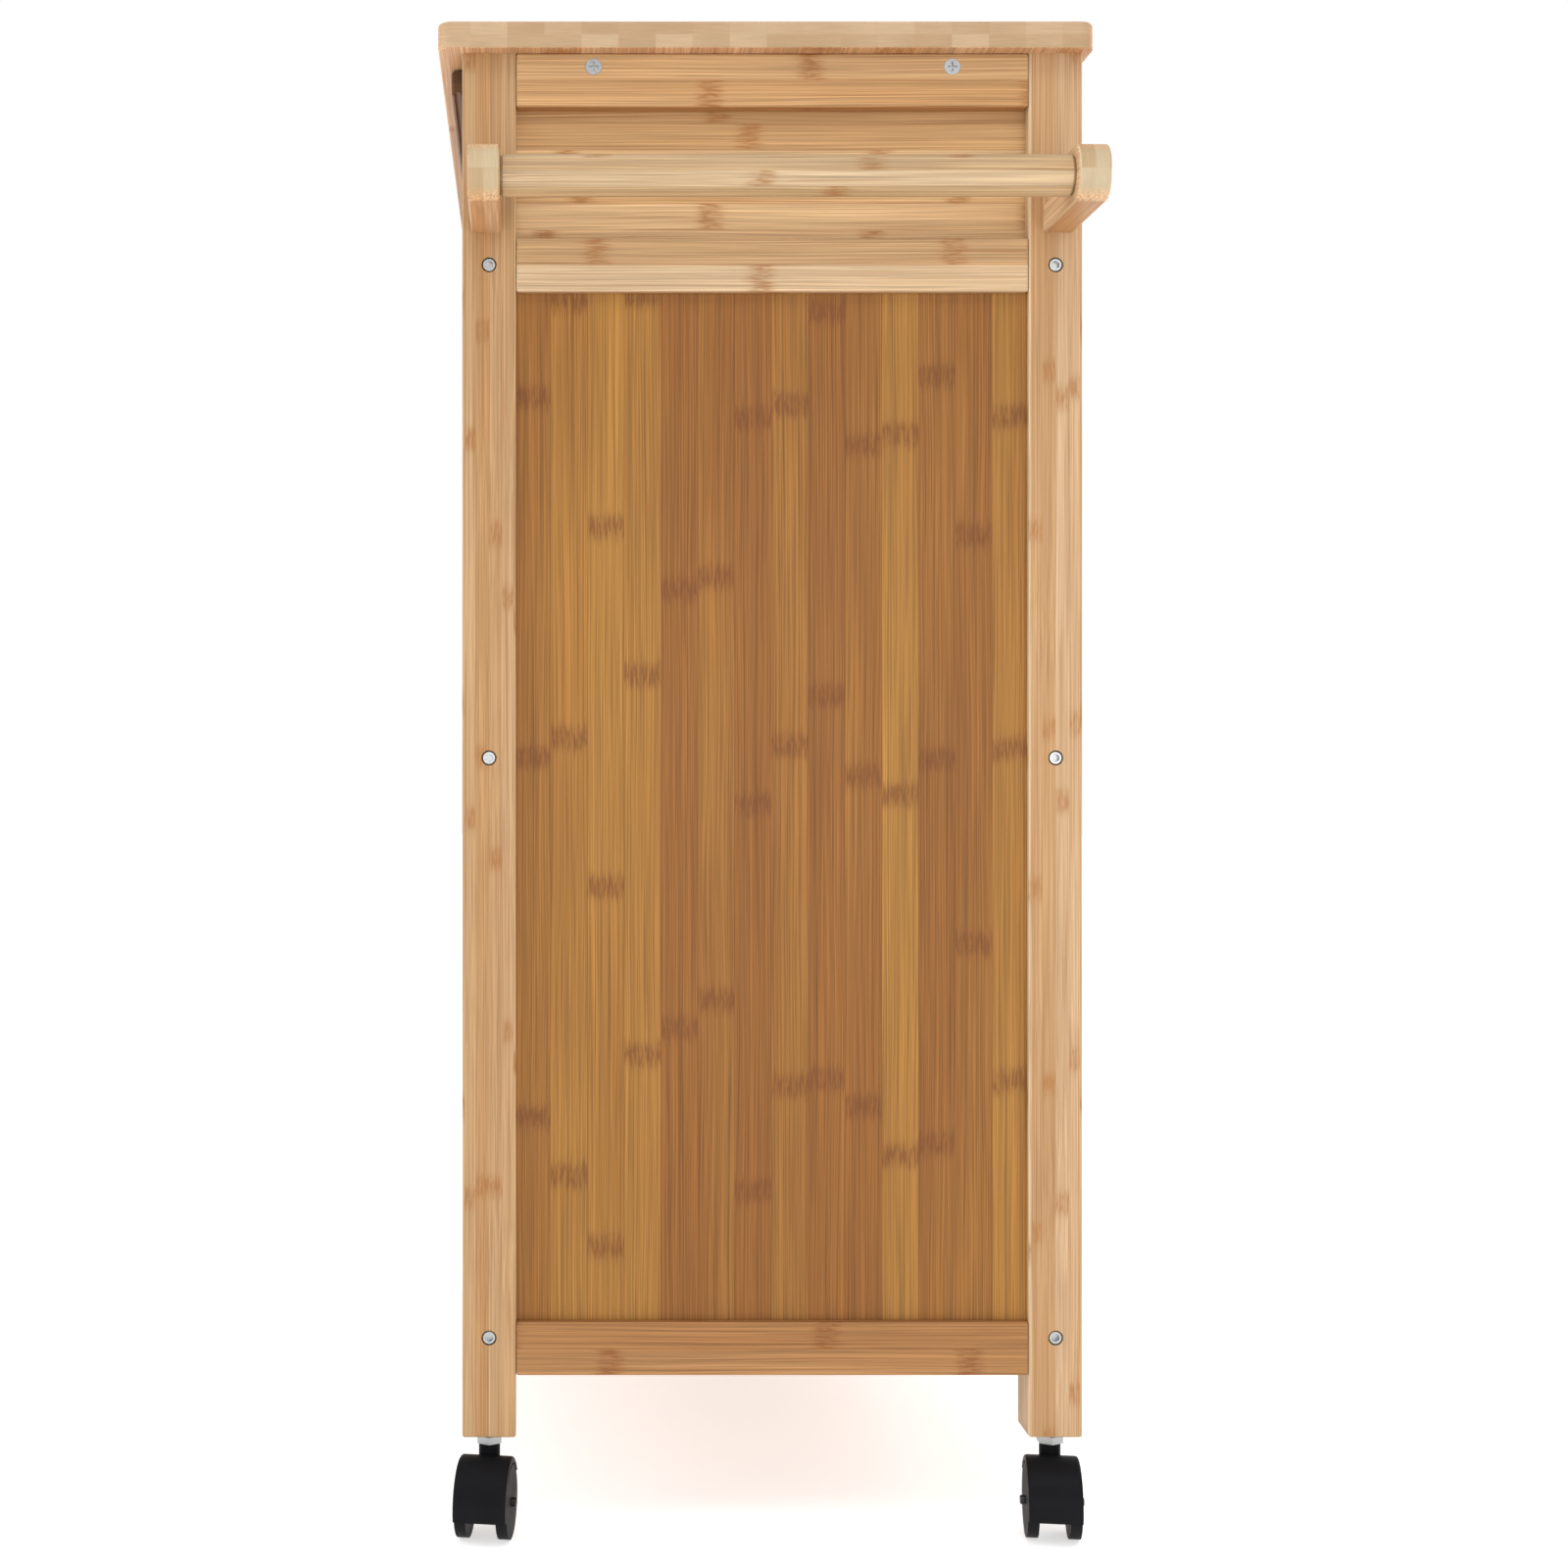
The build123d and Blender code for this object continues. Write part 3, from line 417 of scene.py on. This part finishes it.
def boards(node_name, body, label, seed):
    """Splits a node of several boards into one piece for each, so that each has its own grain."""
    piece = NODES[node_name].copy()
    piece.data = piece.data.copy()
    piece.name = label
    piece.hide_render = False
    piece.hide_viewport = False
    bpy.context.scene.collection.objects.link(piece)
    only(piece)
    bpy.ops.object.parent_clear(type="CLEAR_KEEP_TRANSFORM")
    bpy.ops.object.mode_set(mode="EDIT")
    bpy.ops.mesh.select_all(action="SELECT")
    bpy.ops.mesh.remove_doubles(threshold=MERGE_BOARD)
    bpy.ops.mesh.separate(type="LOOSE")
    bpy.ops.object.mode_set(mode="OBJECT")
    found = sorted(bpy.context.selected_objects,
                   key=lambda board: tuple(round(c, 4) for c in corners(board)[0]))
    for index, board in enumerate(found):
        board.name = f"{label}_{index + 1}"
        board.data.name = board.name
        board.data.materials.clear()
        board.data.materials.append(wood(board.name, *corners(board), seed + index * BOARD_SEED_STEP))
        only(board)
        bpy.ops.object.shade_smooth_by_angle(angle=math.radians(BOARD_SHARP))
        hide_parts(node_name)
        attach(board, body)
    return found


# ---- operators ----
class CART_OT_frame(bpy.types.Operator):
    """Finish the legs, rails, side boards and cleats in natural bamboo"""
    bl_idname = "cart.frame"
    bl_label = "Frame"

    def execute(self, context):
        names = [n for n in NODES
                 if n.startswith(("leg_", "side_rail_", "side_board_")) or n.endswith("_rail")]
        dress(names, lambda name, low, high, k: wood(name, low, high, k * FRAME_SEED_STEP))
        boards("worktop_cleats", "cart", "worktop_cleat", SEEDS["cleat"])
        return {"FINISHED"}


class CART_OT_panels(bpy.types.Operator):
    """Finish the side panels, back panel and shelves"""
    bl_idname = "cart.panels"
    bl_label = "Panels and shelves"

    def execute(self, context):
        dress(["side_panel_right", "side_panel_left", "back_panel"],
              lambda name, low, high, k: caramel(name, low, high, SEEDS["panel"] + k, grain=2))
        dress(["bottom_shelf", "middle_shelf"],
              lambda name, low, high, k: caramel(name, low, high, SEEDS["shelf"] + k))
        return {"FINISHED"}


class CART_OT_worktop(bpy.types.Operator):
    """Finish the worktop, with its strips' end grain at both ends"""
    bl_idname = "cart.worktop"
    bl_label = "Worktop"

    def execute(self, context):
        w = context.scene.cart_wood
        dress(["worktop"], lambda name, low, high, k: bamboo(
            name, low, high, (w.top_pale, w.top_honey, w.knuckle), w.top_strip, FRAME_LAYER,
            SEEDS["worktop"]))
        return {"FINISHED"}


class CART_OT_drawers(bpy.types.Operator):
    """Finish the drawers, divider and runners"""
    bl_idname = "cart.drawers"
    bl_label = "Drawers"

    def execute(self, context):
        w = context.scene.cart_wood
        names = [n for n in NODES if n.startswith(("drawer_front", "drawer_bottom"))]
        dress(names + ["drawer_divider"],
              lambda name, low, high, k: wood(name, low, high, SEEDS["drawer"] + k))
        boards("drawer_runners", "cart", "drawer_runner", SEEDS["runner"])
        for side in ("left", "right"):
            boards(f"drawer_walls_{side}", f"drawer_{side}", f"drawer_wall_{side}",
                   SEEDS["wall"])
        # the pulls get the dark browns of painted shade, for the shade under the worktop's overhang
        dress([n for n in NODES if n.startswith("drawer_pull")], lambda name, low, high, k: bamboo(
            name, low, high, (w.pull_painted_shade_light, w.pull_painted_shade_dark, w.pull_painted_shade_knuckle), w.frame_strip, FRAME_LAYER,
            SEEDS["pull"] + k))
        return {"FINISHED"}


class CART_OT_towel_rail(bpy.types.Operator):
    """Finish the towel rail's brackets and bar"""
    bl_idname = "cart.towel_rail"
    bl_label = "Towel rail"

    def execute(self, context):
        dress(["towel_bracket_front", "towel_bracket_back", "towel_bar"],
              lambda name, low, high, k: wood(name, low, high, SEEDS["towel"] + k))
        return {"FINISHED"}


# ---- frame bolts ----
BOLT_HEAD_R = 3.8 * MM
BOLT_HEAD_HIGH = 4.9 * MM
BOLT_RIM = 0.5 * MM         # bevel of the head's rim
BOLT_SHANK_R = 2.5 * MM
BOLT_SHANK_LONG = 60.0 * MM
BOLT_SOCKET = 2.35 * MM     # corner of the hex socket from the bolt's axis
BOLT_SOCKET_DEEP = 2.8 * MM
BOLT_SUNK = 0.5 * MM        # head's face behind the leg's
BOLT_SIDES = 48
BOLT_SHARP = 25             # degrees
MERGE_SMALL = 0.001 * MM


def pick_edges(piece, test):
    """Selects the edges whose two ends both pass a test."""
    bpy.ops.object.mode_set(mode="OBJECT")
    for part in (*piece.data.vertices, *piece.data.edges, *piece.data.polygons):
        part.select = False
    for edge in piece.data.edges:
        edge.select = all(test(piece.data.vertices[k].co) for k in edge.vertices)
    bpy.ops.object.mode_set(mode="EDIT")
    bpy.ops.mesh.select_mode(type="EDGE")


def pulled(distance, scale=1.0):
    """Extrudes the selected edge loop along Z and scales it about the Z axis."""
    bpy.ops.mesh.extrude_edges_move(TRANSFORM_OT_translate={"value": (0, 0, distance)})
    if scale != 1.0:
        bpy.ops.transform.resize(value=(scale, scale, 1), center_override=(0, 0, 0))


def model_bolt():
    """One frame bolt on the Z axis, its head's face at Z = 0, with a hex socket and a bevelled rim."""
    bpy.ops.object.select_all(action="DESELECT")
    bpy.ops.mesh.primitive_circle_add(vertices=BOLT_SIDES, radius=BOLT_HEAD_R - BOLT_RIM,
                                      location=(0, 0, 0))
    piece = bpy.context.object
    piece.name = "frame_bolt_form"
    bpy.ops.object.mode_set(mode="EDIT")
    bpy.ops.mesh.primitive_circle_add(vertices=6, radius=BOLT_SOCKET, location=(0, 0, 0))
    bpy.ops.mesh.select_all(action="SELECT")
    bpy.ops.mesh.bridge_edge_loops()
    pick_edges(piece, lambda place: place.length < BOLT_SOCKET * 1.01)
    pulled(-BOLT_SOCKET_DEEP)
    bpy.ops.mesh.edge_face_add()
    pick_edges(piece, lambda place: place.length > BOLT_SOCKET * 1.1 and place.z > -0.1 * MM)
    pulled(-BOLT_RIM, BOLT_HEAD_R / (BOLT_HEAD_R - BOLT_RIM))
    pulled(BOLT_RIM - BOLT_HEAD_HIGH)
    pulled(0.0, BOLT_SHANK_R / BOLT_HEAD_R)
    pulled(-BOLT_SHANK_LONG)
    bpy.ops.mesh.edge_face_add()
    bpy.ops.mesh.select_all(action="SELECT")
    bpy.ops.mesh.remove_doubles(threshold=MERGE_SMALL)
    bpy.ops.mesh.normals_make_consistent(inside=False)
    bpy.ops.object.mode_set(mode="OBJECT")
    bpy.ops.object.shade_smooth_by_angle(angle=math.radians(BOLT_SHARP))
    return piece


def seat_bolts(form):
    """Copies the bolt to its twelve places in the legs and joins the copies."""
    rails = ("front_base_rail", "front_shelf_rail", "front_drawer_rail")
    heights = [sum(corner.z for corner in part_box(rail)) / 2 for rail in rails]
    copies = []
    for leg in sorted(n for n in NODES if n.startswith("leg_")):
        low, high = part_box(leg)
        side = 1 if leg.endswith("right") else -1
        face = high.x if side > 0 else low.x
        for height in heights:
            piece = form.copy()
            piece.data = form.data.copy()
            bpy.context.scene.collection.objects.link(piece)
            place = Vector((face - side * BOLT_SUNK, (low.y + high.y) / 2, height))
            turned = Vector((side, 0, 0)).to_track_quat("Z", "Y").to_matrix().to_4x4()
            piece.matrix_world = Matrix.Translation(place) @ turned
            copies.append(piece)
    bpy.data.objects.remove(form)
    only(copies[0])
    for piece in copies:
        piece.select_set(True)
    bpy.ops.object.transform_apply(location=True, rotation=True, scale=True)
    bpy.ops.object.join()
    joined_piece = bpy.context.object
    joined_piece.name = "socket_bolts"
    joined_piece.data.name = "socket_bolts"
    return joined_piece


NOISE_MIDDLE = (0.3, 0.7)           # where most of a noise's values lie
SPOTS_PER_METRE = 900.0
SPOT_SHADE = 0.85
STEEL_ROUGH = (0.24, 0.38)


def steel(name, shade):
    """Plated steel with a faint mottle."""
    made, tree, shader = new_material(name)
    place = node(tree, "ShaderNodeTexCoord").outputs["Object"]
    spots = noise(tree, place, SPOTS_PER_METRE, 3.0)
    darker = rgba([c * SPOT_SHADE for c in shade])
    base = mixed(tree, ranged(tree, spots, *NOISE_MIDDLE), darker, rgba(shade))
    tree.links.new(base, shader.inputs["Base Color"])
    tree.links.new(ranged(tree, spots, *NOISE_MIDDLE, *STEEL_ROUGH), shader.inputs["Roughness"])
    shader.inputs["Metallic"].default_value = 1.0
    return made


class CART_OT_hardware(bpy.types.Operator):
    """Finish the bolts, screws, nuts and stems in zinc-plated steel"""
    bl_idname = "cart.hardware"
    bl_label = "Hardware"

    def execute(self, context):
        h = context.scene.cart_hardware
        made = steel("Zinc steel", h.zinc)
        fasteners = [n for n in NODES if n.endswith(("_nuts", "_screws", "_stems", "_inserts"))]
        dress(fasteners, lambda *given: made)
        axle_steel = steel("Blackened axle steel", h.axle_black)
        dress([n for n in NODES if n.startswith("caster_axle")], lambda *given: axle_steel)
        bolts = seat_bolts(model_bolt())
        bolts.data.materials.append(made)
        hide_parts("frame_bolts")
        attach(bolts, "cart")
        return {"FINISHED"}


# ---- casters ----
HAZE_PER_METRE = 60.0
HAZE_DARK, HAZE_LIGHT = 0.8, 1.3
HAZE_SMOOTHER, HAZE_ROUGHER = 0.06, 0.08
PLASTIC_SPECULAR = 0.05
PLASTIC_GRAIN_HIGH = 0.1 * MM
HOOD_PLASTIC = (0.42, 0.6 * MM, 0.25)     # roughness, size of the grain, strength of the grain
WHEEL_PLASTIC = (0.5, 0.5 * MM, 0.2)


def moulded(name, base, rough, grain_size, strength):
    """Black moulded plastic with a fine spark-eroded grain."""
    made, tree, shader = new_material(name)
    place = node(tree, "ShaderNodeTexCoord").outputs["Object"]
    grain = noise(tree, place, 1.0 / grain_size, 2.0, 0.6)
    haze = noise(tree, place, HAZE_PER_METRE, 3.0)
    tint = mixed(tree, haze, rgba([c * HAZE_DARK for c in base]), rgba([c * HAZE_LIGHT for c in base]))
    tree.links.new(tint, shader.inputs["Base Color"])
    roughness = ranged(tree, haze, *NOISE_MIDDLE, rough - HAZE_SMOOTHER, rough + HAZE_ROUGHER)
    tree.links.new(roughness, shader.inputs["Roughness"])
    shader.inputs["Specular IOR Level"].default_value = PLASTIC_SPECULAR
    bump = node(tree, "ShaderNodeBump",
                {"Strength": strength, "Distance": PLASTIC_GRAIN_HIGH, "Height": grain})
    tree.links.new(bump.outputs[0], shader.inputs["Normal"])
    return made


WHEEL_TREAD = (0.0085, 0.0148)    # tread's inner and outer edge from the caster's middle
WHEEL_SIDES = 72
WHEEL_SHARP = 28                  # degrees


def model_wheel():
    """One wheel on the Z axis, a plain disc without its dome, hub or bore."""
    low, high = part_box("caster_wheel_a_back_left")
    radius = (high.z - low.z) / 2
    inner, outer = WHEEL_TREAD
    bpy.ops.object.select_all(action="DESELECT")
    bpy.ops.mesh.primitive_cylinder_add(vertices=WHEEL_SIDES, radius=radius, depth=outer - inner,
                                        location=(0, 0, (inner + outer) / 2), end_fill_type="NGON")
    piece = bpy.context.object
    piece.name = "caster_wheel_form"
    bpy.ops.object.transform_apply(location=True, rotation=True, scale=True)
    bpy.ops.object.shade_smooth_by_angle(angle=math.radians(WHEEL_SHARP))
    return piece


def seat_wheel(form, joint, side, caster, material):
    """Copies the wheel to one side of a caster's axle."""
    piece = form.copy()
    piece.data = form.data.copy()
    piece.name = f"moulded_wheel_{side}_{caster}"
    piece.data.name = piece.name
    bpy.context.scene.collection.objects.link(piece)
    axis = Vector(joint["axis"]) * (1 if side == "a" else -1)
    turned = axis.to_track_quat("Z", "Y").to_matrix().to_4x4()
    piece.matrix_world = Matrix.Translation(joint["pos_m"]) @ turned
    only(piece)
    bpy.ops.object.transform_apply(location=True, rotation=True, scale=True)
    piece.data.materials.clear()
    piece.data.materials.append(material)
    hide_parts(f"caster_wheel_{side}_{caster}")
    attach(piece, f"wheel_{side}_{caster}")


class CART_OT_casters(bpy.types.Operator):
    """Finish the caster hoods and wheels in black moulded plastic"""
    bl_idname = "cart.casters"
    bl_label = "Casters"

    def execute(self, context):
        h = context.scene.cart_hardware
        hood = moulded("Hood plastic", h.hood_black, *HOOD_PLASTIC)
        dress([n for n in NODES if n.startswith("caster_hood")], lambda *given: hood)
        wheel = moulded("Wheel plastic", h.wheel_black, *WHEEL_PLASTIC)
        first = model_wheel()
        for name, joint in JOINTS.items():
            if name.startswith("wheel_"):
                side, caster = name.split("_", 2)[1:]
                caster = caster.removesuffix("_spin")
                seat_wheel(first, joint, side, caster, wheel)
        bpy.data.objects.remove(first)
        return {"FINISHED"}


# ---- stage ----
FLOOR_RADIUS = 9.0
FLOOR_ROUGH, FLOOR_SPECULAR, FLOOR_GLOW = 0.85, 0.2, 0.56
SKY_LIGHT, SKY_SEEN = 0.78, 1.0           # strength as light, and as background
# each lamp's place, the diameter of its disk and its power in watts
LAMPS = (("key", (2.9, 0.45, 0.62), 1.7, 17.0), ("front", (1.0, -2.9, 1.6), 1.9, 26.0),
         ("back", (-1.6, 2.4, 1.9), 1.9, 26.0), ("top", (1.5, 0.1, 2.7), 1.2, 18.0))
LAMP_AIM = Vector((0.0, 0.0, 0.42))
LENS_SHIFT = (0.1625, -0.03)


class CART_OT_stage(bpy.types.Operator):
    """Set the pale floor, the soft lights and the camera"""
    bl_idname = "cart.stage"
    bl_label = "Stage"

    def execute(self, context):
        s = context.scene.cart_stage
        bpy.ops.object.select_all(action="DESELECT")
        bpy.ops.mesh.primitive_circle_add(vertices=96, radius=FLOOR_RADIUS, fill_type="NGON",
                                          location=(0, 0, 0))
        floor = context.object
        floor.name = "studio_floor"
        made, _, shader = new_material("Studio floor")
        shader.inputs["Base Color"].default_value = rgba(s.floor)
        shader.inputs["Roughness"].default_value = FLOOR_ROUGH
        shader.inputs["Specular IOR Level"].default_value = FLOOR_SPECULAR
        shader.inputs["Emission Color"].default_value = (1.0, 1.0, 1.0, 1.0)
        shader.inputs["Emission Strength"].default_value = FLOOR_GLOW
        floor.data.materials.append(made)

        world = bpy.data.worlds.new("Studio")
        world.use_nodes = True
        background = world.node_tree.nodes["Background"]
        background.inputs["Color"].default_value = (1.0, 1.0, 1.0, 1.0)
        seen = node(world.node_tree, "ShaderNodeLightPath").outputs["Is Camera Ray"]
        strength = ranged(world.node_tree, seen, 0.0, 1.0, SKY_LIGHT, SKY_SEEN)
        world.node_tree.links.new(strength, background.inputs["Strength"])
        context.scene.world = world
        context.scene.view_settings.view_transform = "Standard"

        for name, place, size, power in LAMPS:
            bpy.ops.object.light_add(type="AREA", location=place)
            lamp = context.object
            lamp.name = f"{name}_light"
            lamp.data.shape = "DISK"
            lamp.data.size = size
            lamp.data.energy = power
            lamp.rotation_euler = (LAMP_AIM - lamp.location).to_track_quat("-Z", "Y").to_euler()

        end_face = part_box("leg_front_right")[1].x
        bpy.ops.object.camera_add(location=(end_face + s.eye_distance, s.eye_side, s.eye_height),
                                  rotation=(math.radians(90), 0, math.radians(90)))
        camera = context.object
        camera.data.lens = s.lens
        camera.data.shift_x, camera.data.shift_y = LENS_SHIFT
        context.scene.camera = camera
        return {"FINISHED"}


STEPS = (CART_OT_frame, CART_OT_panels, CART_OT_worktop, CART_OT_drawers, CART_OT_towel_rail,
         CART_OT_hardware, CART_OT_casters, CART_OT_stage)


class CART_PT_panel(bpy.types.Panel):
    """Lists the cart's steps and settings"""
    bl_idname = "CART_PT_panel"
    bl_label = "Rolling cart"
    bl_space_type = "VIEW_3D"
    bl_region_type = "UI"
    bl_category = "Cart"

    def draw(self, context):
        for step in STEPS:
            self.layout.operator(step.bl_idname)
        for settings in (context.scene.cart_wood, context.scene.cart_hardware, context.scene.cart_stage):
            box = self.layout.box()
            for key in settings.__annotations__:
                box.prop(settings, key)


SETTINGS = {"cart_wood": CartWoodSettings, "cart_hardware": CartHardwareSettings,
            "cart_stage": CartStageSettings}


def register():
    """Registers the settings, operators and panel."""
    for made in (*SETTINGS.values(), *STEPS, CART_PT_panel):
        bpy.utils.register_class(made)
    for key, made in SETTINGS.items():
        setattr(bpy.types.Scene, key, PointerProperty(type=made))


def unregister():
    """Takes them away again."""
    for key in SETTINGS:
        delattr(bpy.types.Scene, key)
    for made in reversed((*SETTINGS.values(), *STEPS, CART_PT_panel)):
        bpy.utils.unregister_class(made)


def main():
    """Builds the look, step by step."""
    register()
    bamboo_group()
    for step in STEPS:
        area, name = step.bl_idname.split(".")
        getattr(getattr(bpy.ops, area), name)()


if __name__ == "__main__":
    main()
